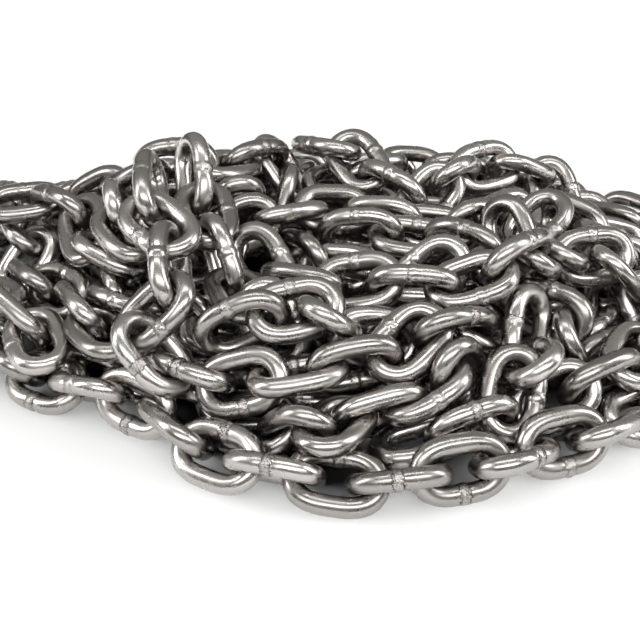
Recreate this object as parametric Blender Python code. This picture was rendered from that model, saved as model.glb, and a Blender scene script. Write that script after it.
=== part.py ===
"""A heap of bright short-link steel chain, as poured out on a floor.

The chain lies in strands. Each strand follows a route of hand-chosen points, its links
sit one pitch apart, and every second link is turned a quarter. A seating rule then moves
the links, a little at a time, until no two wires are nearer than they can be.
The outer links are modelled in short runs, each run fused where its links bear on each
other, and the links below them are one plain core.
"""
import math

import bmesh
import bpy
import numpy as np
from mathutils import Matrix, Vector

# Driving dimensions in millimetres. The layout is worked out in millimetres, and the
# meshes are made in metres.
MM = 0.001
WIRE = 8.0                       # wire diameter
PITCH = 24.0                     # inside length of a link
OUTER_WIDTH = 27.2               # outside width of a link
END_RADIUS = (OUTER_WIDTH - WIRE) / 2            # centreline of a link's round ends
HALF_STRAIGHT = (PITCH + WIRE) / 2 - END_RADIUS  # half of a link's straight side
GAP = 0.15                       # air left between two round wires that bear on each other
SPACING = 23.6                   # from link to link along a route

# The faceted wire of this model
WIRE_SIDES = 5
WIRE_CORNER_RADIUS = 3.75
END_STEPS = 4
PATCH_WIDTH = 2.8                # bearing patch that joins two links of one run
LONGEST_RUN = 5
SHARP_EDGE = math.radians(70)
STEEL_COLOUR = (0.56, 0.55, 0.53)
CORE_COLOUR = (0.35, 0.34, 0.33)
STEEL_ROUGHNESS = 0.25

# The plain core below the outer links
CORE_CENTRE = (0.0, 0.0)
CORE_SPOKES = 40
CORE_RINGS = 8
CORE_LOWEST_TOP = 7.0
CORE_HIGHEST = 50.0
CORE_CLEARANCE = 2.2
CORE_COVER = 21.0                # how far round a point of the core its links are felt
CORE_STEP = 3.0                  # its rim is looked for in steps of this

# The sides that a strand's first link can face
FRONT = (0.0, -0.866, 0.5)
UP = (0.0, 0.0, 1.0)
BACK = (0.0, 0.7, 0.7)

# The usual turns of neighbouring links about their long axes, in degrees, 0 where a link
# is seen face on from its strand's facing side and 90 where it is seen edge on
TILTED = (45, 135)

# Outer strands: name, facing side, the links' turns (used over again where a strand is
# longer), and where each link's centre is meant to lie
OUTER_STRANDS = [
    ("front_floor", FRONT, (90, 0), [
        (-170, 25, 13), (-149, 15, 11), (-127, 7, 14), (-106, -1, 11), (-86, -13, 14),
        (-69, -30, 17), (-55, -47, 12), (-38, -64, 13), (-16, -72, 10), (7, -84, 13), (31, -80, 10), (53, -79, 13),
        (73, -68, 10), (91, -60, 13), (109, -47, 10), (127, -36, 13), (145, -22, 10), (162, -8, 11)]),
    ("peak_face", FRONT, (90, 0, 90, 35, 5, 115, 50, 130, 40, 140, 60, 150), [
        (-71, 28, 82), (-66, 6, 74), (-58, -11, 66), (-65, -27, 54), (-65, -36, 39), (-54, -34, 27),
        (-31, -46, 28), (-6, -44, 38), (17, -45, 38), (34, -34, 45), (53, -26, 45), (66, -8, 42)]),
    ("left_face", FRONT, (90, 0, 90, 0, 90, 30, 120, 30), [
        (-168, 104, 38), (-152, 88, 45), (-138, 70, 46), (-131, 50, 36), (-131, 35, 22),
        (-112, 22, 28), (-98, 6, 28), (-86, -14, 32)]),
    ("left_inner", FRONT, (0, 90, 0, 90, 0, 60), [
        (-138, 68, 56), (-118, 62, 60), (-101, 42, 60), (-94, 20, 52), (-86, 26, 36), (-88, 4, 28)]),
    ("top_ridge", FRONT, (0, 100, 50, 130, 50, 130, 60, 0, 90, 20, 100, 20), [
        (-101, 70, 56), (-86, 68, 68), (-65, 64, 76), (-44, 72, 74), (-31, 88, 70), (-19, 96, 64),
        (-6, 80, 54), (-23, 60, 50), (-13, 36, 46), (7, 20, 44), (29, 10, 44), (50, 4, 46)]),
    ("peak_side", FRONT, (0, 90, 50, -20, 70), [
        (-54, 47, 80), (-50, 27, 68), (-42, 10, 57), (-28, -9, 47), (-20, -26, 36)]),
    ("saddle", FRONT, (60, 130, 30, 100, 0, 90, 0), [
        (12, 46, 56), (37, 36, 55), (63, 29, 54), (80, 12, 44), (101, -1, 37), (107, -17, 28),
        (122, -4, 18)]),
    ("back_ridge", FRONT, (90, 0, 90, 0, 90, 0, 90, 0, 70, 150, 60, 150), [
        (-1, 112, 64), (18, 96, 63), (34, 76, 58), (52, 72, 59), (63, 90, 62), (82, 104, 60),
        (100, 114, 56), (118, 112, 44), (130, 98, 32), (148, 98, 22), (166, 90, 16), (182, 76, 13)]),
    ("right_face", FRONT, (0, 90, 130, 50, 130, 50), [
        (100, 58, 52), (99, 34, 42), (116, 46, 38), (131, 27, 36), (148, 28, 22), (166, 16, 13)]),
    ("mid_face", FRONT, (90, 10, 110, 20), [
        (-34, -28, 44), (-10, -20, 46), (8, -32, 48), (22, -18, 36)]),
    ("front_low_left", FRONT, (0, 90, 0, 90, 150, 60), [
        (-28, -54, 18), (-11, -62, 20), (6, -62, 24), (22, -56, 26), (40, -52, 32), (55, -36, 34)]),
    ("front_low_right", FRONT, (30, 120, 30, 110, 20), [
        (34, -62, 22), (58, -56, 24), (78, -48, 26), (78, -34, 34), (84, -14, 36)]),
    ("right_low", FRONT, (0, 90), [
        (92, -42, 22), (110, -34, 24), (126, -18, 24), (140, 2, 26), (152, 14, 20)]),
    ("left_low", FRONT, TILTED, [
        (-158, 34, 16), (-146, 22, 26), (-128, 10, 26), (-106, -4, 22)]),
    ("left_edge", UP, TILTED, [
        (-176, 50, 13), (-174, 72, 22), (-164, 92, 28), (-150, 112, 30), (-128, 122, 30),
        (-106, 118, 38)]),
    ("left_top", UP, TILTED, [
        (-126, 92, 42), (-104, 94, 48), (-80, 90, 58), (-60, 98, 58), (-40, 108, 54),
        (-20, 116, 52)]),
    ("right_edge", UP, TILTED, [
        (120, 86, 38), (134, 70, 34), (150, 58, 25), (166, 50, 17), (178, 34, 13)]),
    ("centre_top", UP, TILTED, [
        (-36, 42, 58), (-16, 52, 55), (6, 66, 54), (30, 62, 54), (52, 50, 53), (74, 58, 50),
        (92, 78, 46)]),
    ("centre_back", UP, TILTED, [
        (4, 94, 57), (26, 112, 56), (50, 120, 54), (74, 126, 50), (96, 136, 38)]),
    ("centre_front", UP, TILTED, [
        (-30, 14, 54), (-8, 4, 48), (16, -4, 48), (38, -14, 46), (60, -12, 44), (84, -2, 44),
        (92, 20, 46), (80, 38, 50)]),
    ("back_left", BACK, TILTED, [
        (-142, 142, 18), (-118, 144, 22), (-94, 132, 34), (-72, 118, 48), (-50, 126, 46),
        (-28, 134, 42)]),
    ("back_mid", BACK, TILTED, [
        (-86, 150, 26), (-62, 146, 32), (-38, 150, 31), (-14, 148, 35), (10, 136, 42), (34, 138, 40),
        (58, 144, 34), (80, 150, 28)]),
    ("back_right", BACK, TILTED, [
        (158, 134, 14), (138, 136, 18), (116, 142, 24), (98, 156, 20), (76, 162, 22), (52, 162, 24),
        (28, 164, 22), (4, 166, 21), (-20, 164, 22), (-44, 168, 20), (-68, 168, 18),
        (-92, 160, 18)]),
    ("back_floor", UP, TILTED, [
        (-158, 18, 11), (-176, 30, 11), (-190, 48, 11), (-184, 72, 11), (-192, 94, 11),
        (-186, 118, 11), (-170, 134, 11), (-158, 154, 11), (-136, 160, 12), (-116, 174, 11),
        (-92, 178, 11), (-70, 172, 12), (-48, 180, 11), (-26, 190, 11), (-4, 182, 11), (18, 176, 12),
        (42, 182, 11), (64, 190, 11), (86, 180, 11), (108, 172, 12), (132, 172, 11), (152, 160, 11),
        (164, 140, 12), (182, 126, 11), (190, 104, 11), (182, 82, 11), (190, 60, 11), (184, 38, 11),
        (172, 18, 12)]),
]

# Strands hidden inside the heap, as wavering rings round a middle: name, how far out,
# height, start angle in degrees, middle, and half length and half width at full reach
HEAP_MIDDLE = (0.0, 54.0)
WAVER = 0.06                     # how much a ring's reach changes on its way round
RIPPLE = 2.0                     # how much its height changes
RING_STEPS = 400
HIDDEN_RINGS = [
    ("base_outer", 0.76, 12, 17, HEAP_MIDDLE, (176, 112)),
    ("base_middle", 0.60, 12, 63, HEAP_MIDDLE, (176, 112)),
    ("base_inner", 0.38, 12, 11, HEAP_MIDDLE, (176, 112)),
    ("second_outer", 0.66, 31, 29, HEAP_MIDDLE, (168, 104)),
    ("second_inner", 0.40, 31, 52, HEAP_MIDDLE, (168, 104)),
    ("peak_ring", 1.0, 56, 23, (-66, 40), (26, 26)),
]

# The seating rule
STRETCH = 2.0                    # the strands start this much higher than they end
START_LIFT = 2.0
APART = 24.0                     # first spacing between links of different strands
LEAST_SPAN = 44.5                # from a link to the next but one, at a strand's sharpest bend
LOWEST_START = 9.0               # no link's centre starts lower
SPREAD_PASSES = 150
PASSES_PER_LIST = 5              # how long one list of near links is used
STRAND_PUSH = 0.25               # share of a lack of room that one pass makes up
HOME_PULL = 0.02
PITCH_ROUNDS = 6
PITCH_PULL = 0.4
SPAN_PUSH = 0.3
SQUARING = 1.0                   # how strongly a link is turned square to its last neighbour
LOWER_STEPS = 240
LOWERED_BY = 0.85                # share of those steps after which the routes are down
LOWER_PULL = 0.15
LONGEST_PULL = 0.8
PASSES_PER_STEP = 4
SINK_PASSES = 120                # passes in which every link sinks a little more
SINK = 0.04
SETTLE_PASSES = 260
SPREAD_REACH = 48.0              # links with centres nearer than this are near links
SEAT_REACH = 44.0
FELT = 1.5                       # how far past bearing on each other two wires are looked at
SHARED_PUSH = 0.4                # how much the pushes on one link are shared out
LONGEST_MOVE = 1.0
LOOP_POINTS = 16                 # points felt round one link
SAME_BEARING = 2                 # points beside each other count as one bearing place
BEARING_ROUNDS = 3
TURN_ARM = 12.0                  # how far out a push must be to turn a link with ease
AXIS_POINTS = (-9.0, -3.0, 3.0, 9.0)
NEARLY_ALONG = 0.2               # a facing side this near the strand's own line isn't used
FAR = 1e9
TINY = 1e-9
DECIMALS = 6
AXIS_DECIMALS = 9


def hidden_route(reach, height, start_degrees, middle, half):
    """A wavering ring, with a point at every link and its ends just apart."""
    start = math.radians(start_degrees)
    angle = np.linspace(start, start + 2 * math.pi, RING_STEPS)
    waver = reach * (1 + WAVER * np.sin(3 * angle + 2 * start))
    ring = np.stack([middle[0] + half[0] * waver * np.cos(angle),
                     middle[1] + half[1] * waver * np.sin(angle),
                     height + RIPPLE * np.sin(5 * angle)], -1)
    along = np.concatenate([[0], np.cumsum(np.sqrt((np.diff(ring, axis=0) ** 2).sum(1)))])
    at = np.arange(0, along[-1] - SPACING / 2, SPACING)
    return np.stack([np.interp(at, along, ring[:, axis]) for axis in range(3)], -1)


def across(direction, facing):
    """The part of facing that is square to direction, at unit length."""
    square = facing - direction * (facing @ direction)
    if square @ square < NEARLY_ALONG ** 2:
        other = np.array(UP) if abs(direction[2]) < 1 - NEARLY_ALONG else np.array(BACK)
        square = other - direction * (other @ direction)
    return square / math.sqrt(square @ square)


def links_along(facing, turns, route):
    """Centres and axes of the links of one strand, one at each point of its route."""
    centres = np.array(route, float)
    axes = []
    for k, direction in enumerate(np.gradient(centres, axis=0)):
        direction = direction / math.sqrt(direction @ direction)
        normal = across(direction, np.array(facing))
        side = np.cross(normal, direction)
        turn = math.radians(turns[k % len(turns)])
        width = math.cos(turn) * side + math.sin(turn) * normal
        axes.append(np.stack([direction, width, np.cross(direction, width)], -1))
    return centres, np.array(axes)


def loop_points():
    """Points evenly round a link's centreline, in the link's own axes."""
    per_end = math.pi * END_RADIUS
    length = 4 * HALF_STRAIGHT + 2 * per_end
    points = []
    for k in range(LOOP_POINTS):
        run = (k + 0.5) * length / LOOP_POINTS
        side = -1
        if run >= 2 * HALF_STRAIGHT + per_end:
            run -= 2 * HALF_STRAIGHT + per_end
            side = 1
        if run < 2 * HALF_STRAIGHT:
            points.append((side * (HALF_STRAIGHT - run), side * END_RADIUS, 0))
        else:
            angle = (run - 2 * HALF_STRAIGHT) / END_RADIUS
            points.append((-side * (HALF_STRAIGHT + END_RADIUS * math.sin(angle)),
                           side * END_RADIUS * math.cos(angle), 0))
    return np.array(points, float)


LOOP = loop_points()


def to_loop(points, centres, axes):
    """The nearest points of the links' centrelines to the given points."""
    local = np.einsum("nji,nj->ni", axes, points - centres)
    return centres + np.einsum("nij,nj->ni", axes, nearest_on_loop(local))


def nearest_on_loop(local):
    """The nearest point of a link's centreline, in the link's own axes."""
    core = np.clip(local[..., 0], -HALF_STRAIGHT, HALF_STRAIGHT)
    along = local[..., 0] - core
    over = np.where(np.abs(local[..., 1]) < TINY, TINY, local[..., 1])
    length = np.sqrt(along * along + over * over)
    nearest = np.zeros_like(local)
    nearest[..., 0] = core + along / length * END_RADIUS
    nearest[..., 1] = over / length * END_RADIUS
    return nearest


def near_pairs(centres, reach):
    """Pairs of links whose centres are within reach."""
    apart = centres[:, None] - centres[None]
    return np.nonzero(np.triu((apart * apart).sum(-1) < reach * reach, 1))


def bearings(centres, axes, first, second, within):
    """Where two links come near: both indices, the point on each, the unit line
    between them and its length. Two links can bear on each other in two places."""
    loops = centres[:, None] + np.einsum("nij,kj->nki", axes, LOOP)
    points = loops[first]
    local = np.einsum("mab,mka->mkb", axes[second], points - centres[second][:, None])
    gaps = np.sqrt(((local - nearest_on_loop(local)) ** 2).sum(-1))
    rows = np.arange(len(first))
    nearest = gaps.argmin(1)
    round_to = (np.arange(LOOP_POINTS)[None] - nearest[:, None]) % LOOP_POINTS
    beside = (round_to <= SAME_BEARING) | (round_to >= LOOP_POINTS - SAME_BEARING)
    elsewhere = np.where(beside, FAR, gaps)
    other = elsewhere.argmin(1)
    near = gaps[rows, nearest] < within
    far = elsewhere[rows, other] < within
    pair = np.concatenate([rows[near], rows[far]])
    spot = np.concatenate([nearest[near], other[far]])
    one = first[pair]
    two = second[pair]
    point = points[pair, spot]
    for _ in range(BEARING_ROUNDS):
        seat = to_loop(point, centres[two], axes[two])
        point = to_loop(seat, centres[one], axes[one])
    seat = to_loop(point, centres[two], axes[two])
    line = point - seat
    length = np.sqrt((line * line).sum(-1))
    return one, two, point, seat, line / np.maximum(length, TINY)[:, None], length


def unit_axes(along, width):
    """Three square axes from a long axis and a rough width axis."""
    along = along / np.sqrt((along * along).sum(-1))[:, None]
    width = width - (along * width).sum(-1)[:, None] * along
    width = width / np.sqrt((width * width).sum(-1))[:, None]
    return np.stack([along, width, np.cross(along, width)], -1)


def gather(index, values, count):
    """Sum vectors into the rows that index names."""
    return np.stack([np.bincount(index, values[:, axis], count) for axis in range(3)], -1)


def spread_strands(centres, axes, strand, home):
    """Move links of different strands apart, with their neighbours kept at one pitch."""
    count = len(centres)
    start = np.nonzero(strand[1:] == strand[:-1])[0]
    bend = np.nonzero(strand[2:] == strand[:-2])[0]
    spine = np.array([(x, 0.0, 0.0) for x in AXIS_POINTS])
    for step in range(SPREAD_PASSES):
        if step % PASSES_PER_LIST == 0:
            one, two = near_pairs(centres, SPREAD_REACH)
            apart = ~((strand[one] == strand[two]) & (np.abs(one - two) <= 1))
            one, two = one[apart], two[apart]
        points = centres[:, None] + np.einsum("nij,kj->nki", axes, spine)
        lines = points[one][:, :, None] - points[two][:, None]
        lengths = np.sqrt((lines * lines).sum(-1)).reshape(len(one), -1)
        rows = np.arange(len(one))
        best = lengths.argmin(1)
        line = lines.reshape(len(one), -1, 3)[rows, best]
        length = lengths[rows, best]
        push = STRAND_PUSH * np.maximum(0, APART - length) / np.maximum(length, TINY)
        move = push[:, None] * line
        centres = centres + gather(one, move, count) - gather(two, move, count)
        centres = centres + HOME_PULL * (home - centres)
        centres[:, 2] = np.maximum(centres[:, 2], LOWEST_START)
        for _ in range(PITCH_ROUNDS):
            line = centres[start + 1] - centres[start]
            length = np.sqrt((line * line).sum(-1))
            pull = PITCH_PULL * (length - SPACING) / np.maximum(length, TINY)
            move = pull[:, None] * line
            centres = centres + gather(start, move, count) - gather(start + 1, move, count)
            line = centres[bend + 2] - centres[bend]
            length = np.sqrt((line * line).sum(-1))
            push = SPAN_PUSH * np.maximum(0, LEAST_SPAN - length) / np.maximum(length, TINY)
            move = push[:, None] * line
            centres = centres - gather(bend, move, count) + gather(bend + 2, move, count)
        centres = np.round(centres, DECIMALS)
    return centres


def follow_chain(centres, axes, strand):
    """Turn each link so that its long axis runs from its last neighbour to its next, and
    so that it stands nearly square to its last neighbour."""
    last = np.arange(len(centres)) - 1
    following = last + 2
    last = np.where((last < 0) | (strand[last] != strand), last + 1, last)
    wrapped = following % len(centres)
    ends = (following == len(centres)) | (strand[wrapped] != strand)
    following = np.where(ends, following - 1, following)
    axes = unit_axes(centres[following] - centres[last], axes[:, :, 1])
    for k in np.nonzero(strand[1:] == strand[:-1])[0] + 1:
        square = np.cross(axes[k, :, 0], axes[k - 1, :, 1])
        square /= max(math.sqrt(square @ square), NEARLY_ALONG)
        if square @ axes[k, :, 1] < 0:
            square = -square
        axes[k] = unit_axes(axes[k:k + 1, :, 0], axes[k:k + 1, :, 1] + SQUARING * square)[0]
    return axes


def seat_links(centres, axes, one, two):
    """Push apart the wires that are too near, and lift what is in the floor, by one pass."""
    count = len(centres)
    limit = WIRE + GAP
    one, two, point, seat, line, length = bearings(centres, axes, one, two, limit + FELT)
    lack = np.maximum(0, limit - length)
    arm_one = np.cross(point - centres[one], line)
    arm_two = np.cross(seat - centres[two], line)
    ease = 2 + ((arm_one ** 2).sum(-1) + (arm_two ** 2).sum(-1)) / TURN_ARM ** 2
    push = (np.minimum(lack, FELT) / ease)[:, None]
    move = gather(one, push * line, count) - gather(two, push * line, count)
    turn = gather(one, push * arm_one, count) - gather(two, push * arm_two, count)
    bears = (lack > 0).astype(float)
    held = np.bincount(one, bears, count) + np.bincount(two, bears, count)

    loops = np.einsum("nij,kj->nki", axes, LOOP)
    low = loops[np.arange(count), loops[:, :, 2].argmin(1)]
    sunk = np.maximum(0, WIRE / 2 - centres[:, 2] - low[:, 2])
    lift_arm = np.stack([low[:, 1], -low[:, 0], np.zeros(count)], -1)
    lift = np.minimum(sunk, FELT) / (1 + (lift_arm ** 2).sum(-1) / TURN_ARM ** 2)
    move[:, 2] += lift
    turn += lift[:, None] * lift_arm
    held += sunk > 0

    share = 1 / np.maximum(1, SHARED_PUSH * held)[:, None]
    move *= share
    turn *= share / TURN_ARM ** 2
    size = np.sqrt((move ** 2).sum(1))
    move *= np.minimum(1, LONGEST_MOVE / np.maximum(size, TINY))[:, None]
    axes = unit_axes(axes[:, :, 0] + np.cross(turn, axes[:, :, 0]),
                     axes[:, :, 1] + np.cross(turn, axes[:, :, 1]))
    return np.round(centres + move, DECIMALS), np.round(axes, AXIS_DECIMALS)


def lay_out(strands):
    """Place every link: spread the strands above the floor, lower them, let them sink on
    each other, and clear the last overlaps."""
    placed = [links_along(*rule) for _, *rule in strands]
    strand = np.concatenate([[k] * len(links[0]) for k, links in enumerate(placed)])
    home = np.vstack([links[0] for links in placed])
    axes = np.vstack([links[1] for links in placed])
    raised = home * (1, 1, STRETCH) + (0, 0, START_LIFT)
    centres = spread_strands(raised, axes, strand, raised)
    axes = follow_chain(centres, axes, strand)
    for step in range(LOWER_STEPS + SINK_PASSES + SETTLE_PASSES):
        if step % PASSES_PER_LIST == 0:
            one, two = near_pairs(centres, SEAT_REACH)
        passes = 1
        if step < LOWER_STEPS:
            lowered = min(1.0, step / (LOWERED_BY * LOWER_STEPS))
            goal = home * (1, 1, STRETCH + (1 - STRETCH) * lowered)
            pull = LOWER_PULL * (goal - centres)
            size = np.sqrt((pull * pull).sum(1))
            pull *= np.minimum(1, LONGEST_PULL / np.maximum(size, TINY))[:, None]
            centres = centres + pull
            passes = PASSES_PER_STEP
        elif step < LOWER_STEPS + SINK_PASSES:
            centres = centres - (0, 0, SINK)
        for _ in range(passes):
            centres, axes = seat_links(centres, axes, one, two)
    return centres, axes, strand


def heap_links():
    """Every link's centre and axes, the strand names, and how many links are outer ones.
    The outer links' box is centred on the origin."""
    hidden = [(name, UP, TILTED, hidden_route(*rule)) for name, *rule in HIDDEN_RINGS]
    strands = OUTER_STRANDS + hidden
    centres, axes, strand = lay_out(strands)
    outer = int((strand < len(OUTER_STRANDS)).sum())
    loops = centres[:outer, None] + np.einsum("nij,kj->nki", axes[:outer], LOOP)
    loops = loops.reshape(-1, 3)
    middle = (loops.min(0) + loops.max(0)) / 2
    centres = centres - middle * (1, 1, 0)
    names = [strands[k][0] for k in strand]
    return centres, axes, names, outer


def clear_scene():
    for thing in list(bpy.data.objects):
        bpy.data.objects.remove(thing)


def steel(name, colour):
    """Tumbled stainless steel."""
    material = bpy.data.materials.new(name)
    material.use_nodes = True
    shader = material.node_tree.nodes["Principled BSDF"]
    shader.inputs["Base Color"].default_value = (*colour, 1)
    shader.inputs["Metallic"].default_value = 1.0
    shader.inputs["Roughness"].default_value = STEEL_ROUGHNESS
    return material


def link_shape():
    """One link as a closed bmesh in its own axes, in metres: a round section drawn along
    one straight side, round an end, along the other side and round the other end."""
    shape = bmesh.new()
    corner = bmesh.ops.create_circle(shape, segments=WIRE_SIDES, radius=WIRE_CORNER_RADIUS,
                                     matrix=Matrix.Rotation(math.pi / 2, 4, "Y"))
    bmesh.ops.translate(shape, verts=corner["verts"],
                        vec=(-HALF_STRAIGHT, -END_RADIUS, 0))
    section = list(shape.edges)
    for side in (1, -1):
        drawn = bmesh.ops.extrude_edge_only(shape, edges=section)["geom"]
        bmesh.ops.translate(shape, vec=(side * 2 * HALF_STRAIGHT, 0, 0),
                            verts=[v for v in drawn if isinstance(v, bmesh.types.BMVert)])
        section = [e for e in drawn if isinstance(e, bmesh.types.BMEdge)]
        turned = bmesh.ops.spin(shape, geom=section, cent=(side * HALF_STRAIGHT, 0, 0),
                                axis=(0, 0, 1), angle=math.pi, steps=END_STEPS)
        section = [e for e in turned["geom_last"] if isinstance(e, bmesh.types.BMEdge)]
    bmesh.ops.remove_doubles(shape, verts=shape.verts, dist=0.01)
    bmesh.ops.recalc_face_normals(shape, faces=shape.faces)
    bmesh.ops.scale(shape, vec=(MM, MM, MM), verts=shape.verts)
    return shape


def placement(centre, axes):
    """The matrix that puts a link's own axes in the heap, in metres."""
    matrix = Matrix(axes.tolist()).to_4x4()
    matrix.translation = Vector(centre.tolist()) * MM
    return matrix


def add_object(name, shape, place, material=None):
    """A mesh object whose origin is at place."""
    bmesh.ops.translate(shape, verts=shape.verts, vec=-place)
    mesh = bpy.data.meshes.new(name)
    shape.to_mesh(mesh)
    shape.free()
    item = bpy.data.objects.new(name, mesh)
    item.location = place
    bpy.context.scene.collection.objects.link(item)
    if material:
        mesh.materials.append(material)
        mesh.shade_smooth()
        mesh.set_sharp_from_angle(angle=SHARP_EDGE)
    return item


def bearing_patch(shape, centres, axes, index):
    """A short square bar where link index bears on the next link of its run."""
    bearing = bearings(centres, axes, np.array([index]), np.array([index + 1]), FAR)
    best = bearing[5].argmin()
    point, seat, line, length = (bearing[k][best] for k in (2, 3, 4, 5))
    turn = Vector(line.tolist()).to_track_quat("Z", "Y").to_matrix().to_4x4()
    turn.translation = Vector(((point + seat) / 2 * MM).tolist())
    size = Matrix.Diagonal((PATCH_WIDTH * MM, PATCH_WIDTH * MM, length * MM, 1))
    bmesh.ops.create_cube(shape, size=1, matrix=turn @ size)


def make_run(name, first, count, centres, axes, link_mesh):
    """Links first to first + count - 1 as one body."""
    place = Vector((centres[first] * MM).tolist())
    links = bmesh.new()
    for k in range(first, first + count):
        start = len(links.verts)
        links.from_mesh(link_mesh)
        links.verts.ensure_lookup_table()
        bmesh.ops.transform(links, matrix=placement(centres[k], axes[k]),
                            verts=links.verts[start:])
    run = add_object(name, links, place, steel(name + "_steel", STEEL_COLOUR))
    if count == 1:
        return run
    patches = bmesh.new()
    for k in range(first, first + count - 1):
        bearing_patch(patches, centres, axes, k)
    helper = add_object(name + "_patches", patches, place)
    helper.hide_render = True
    helper.display_type = "WIRE"
    join = run.modifiers.new("bearing patches", "BOOLEAN")
    join.operation = "UNION"
    join.solver = "EXACT"
    join.use_self = True
    join.object = helper
    return run


def make_runs(centres, axes, names, outer):
    """Cut each outer strand into runs of nearly equal length."""
    template = link_shape()
    link_mesh = bpy.data.meshes.new("link")
    template.to_mesh(link_mesh)
    template.free()
    runs = []
    for name in dict.fromkeys(names[:outer]):
        first = names.index(name)
        length = names.count(name)
        pieces = math.ceil(length / LONGEST_RUN)
        cuts = [first + round(k * length / pieces) for k in range(pieces + 1)]
        for k, (start, end) in enumerate(zip(cuts, cuts[1:])):
            runs.append(make_run(f"{name}_run_{k + 1}", start, end - start,
                                 centres, axes, link_mesh))
    bpy.data.meshes.remove(link_mesh)
    return runs


def core_roof(x, y, undersides):
    """How high the core may reach at a place, below the links round it."""
    apart = (undersides[:, 0] - x) ** 2 + (undersides[:, 1] - y) ** 2
    near = undersides[apart < CORE_COVER ** 2, 2]
    return min(near.min() - CORE_CLEARANCE, CORE_HIGHEST) if len(near) else CORE_HIGHEST


def rim_verts(edges):
    return {vertex for edge in edges for vertex in edge.verts}


def edges_of(parts):
    return [part for part in parts if isinstance(part, bmesh.types.BMEdge)]


def make_core(centres, axes, outer):
    """The plain mound below the outer links, flat where it stands."""
    loops = centres[:outer, None] + np.einsum("nij,kj->nki", axes[:outer], LOOP)
    undersides = loops.reshape(-1, 3) - (0, 0, WIRE / 2)
    step = 2 * math.pi / CORE_SPOKES
    reaches = []
    for k in range(CORE_SPOKES):
        ahead = np.array((math.cos(k * step), math.sin(k * step)))
        reach = CORE_COVER
        while core_roof(*(CORE_CENTRE + (reach + CORE_STEP) * ahead),
                        undersides) > CORE_LOWEST_TOP:
            reach += CORE_STEP
        reaches.append(reach)

    shape = bmesh.new()
    bmesh.ops.create_circle(shape, cap_ends=True, cap_tris=True, segments=CORE_SPOKES,
                            radius=1)
    rim = [edge for edge in shape.edges if edge.is_boundary]
    for ring in range(1, CORE_RINGS + 1):
        if ring > 1:
            rim = edges_of(bmesh.ops.extrude_edge_only(shape, edges=rim)["geom"])
        for vertex in rim_verts(rim):
            spoke = round(math.atan2(vertex.co.y, vertex.co.x) / step) % CORE_SPOKES
            reach = reaches[spoke] * ring / CORE_RINGS
            vertex.co.x = reach * math.cos(spoke * step)
            vertex.co.y = reach * math.sin(spoke * step)
    bmesh.ops.translate(shape, verts=shape.verts, vec=(*CORE_CENTRE, 0))
    for vertex in shape.verts:
        vertex.co.z = core_roof(vertex.co.x, vertex.co.y, undersides)
    rim = edges_of(bmesh.ops.extrude_edge_only(shape, edges=rim)["geom"])
    for vertex in rim_verts(rim):
        vertex.co.z = 0
    bmesh.ops.contextual_create(shape, geom=rim)
    bmesh.ops.recalc_face_normals(shape, faces=shape.faces)
    bmesh.ops.scale(shape, vec=(MM, MM, MM), verts=shape.verts)
    add_object("core", shape, Vector((0, 0, 0)), steel("core_steel", CORE_COLOUR))


def main():
    clear_scene()
    centres, axes, names, outer = heap_links()
    make_runs(centres, axes, names, outer)
    make_core(centres, axes, outer)


main()
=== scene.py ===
"""A heap of bright short-link steel chain, poured out on a pale studio floor.

Every link is modelled as drawn round wire, bent and closed by a flash weld halfway along
one side. The links lie where the heap's layout puts them: strands follow routes of listed
points, and a seating rule then moves the links until their wires bear on each
other. Run as a script, it builds the links, the floor, the lights and the camera.
"""
import math

import bmesh
import bpy
import numpy as np
from bpy.props import FloatProperty, FloatVectorProperty, PointerProperty
from mathutils import Matrix, Vector


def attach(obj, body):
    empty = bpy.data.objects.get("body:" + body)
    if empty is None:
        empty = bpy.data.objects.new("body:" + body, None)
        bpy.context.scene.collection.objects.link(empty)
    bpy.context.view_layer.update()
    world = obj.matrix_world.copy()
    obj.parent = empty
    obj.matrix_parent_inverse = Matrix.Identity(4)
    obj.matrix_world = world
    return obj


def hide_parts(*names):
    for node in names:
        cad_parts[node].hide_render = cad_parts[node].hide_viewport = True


bl_info = {
    "name": "Heap of Steel Chain",
    "version": (1, 0, 0),
    "blender": (4, 5, 0),
    "location": "3D View > Sidebar > Chain Heap",
    "description": "Builds a poured heap of bright short-link steel chain in a plain studio",
    "category": "Add Mesh",
}

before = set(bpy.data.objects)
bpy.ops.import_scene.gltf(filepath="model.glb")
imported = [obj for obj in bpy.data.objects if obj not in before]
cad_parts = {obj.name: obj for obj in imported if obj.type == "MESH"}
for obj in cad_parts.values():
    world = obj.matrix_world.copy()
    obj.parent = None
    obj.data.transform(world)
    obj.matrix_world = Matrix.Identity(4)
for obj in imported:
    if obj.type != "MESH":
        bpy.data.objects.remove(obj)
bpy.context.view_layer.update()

# Driving dimensions in millimetres. The layout is worked out in millimetres, and the
# meshes are made in metres.
MM = 0.001
WIRE = 8.0                       # wire diameter
PITCH = 24.0                     # inside length of a link
OUTER_WIDTH = 27.2               # outside width of a link
END_RADIUS = (OUTER_WIDTH - WIRE) / 2            # centreline of a link's round ends
HALF_STRAIGHT = (PITCH + WIRE) / 2 - END_RADIUS  # half of a link's straight side
GAP = 0.15                       # air left between two round wires that bear on each other
SPACING = 23.6                   # from link to link along a route

# The sides that a strand's first link can face
FRONT = (0.0, -0.866, 0.5)
UP = (0.0, 0.0, 1.0)
BACK = (0.0, 0.7, 0.7)

# The usual turns of neighbouring links about their long axes, in degrees, 0 where a link
# is seen face on from its strand's facing side and 90 where it is seen edge on
TILTED = (45, 135)

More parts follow.
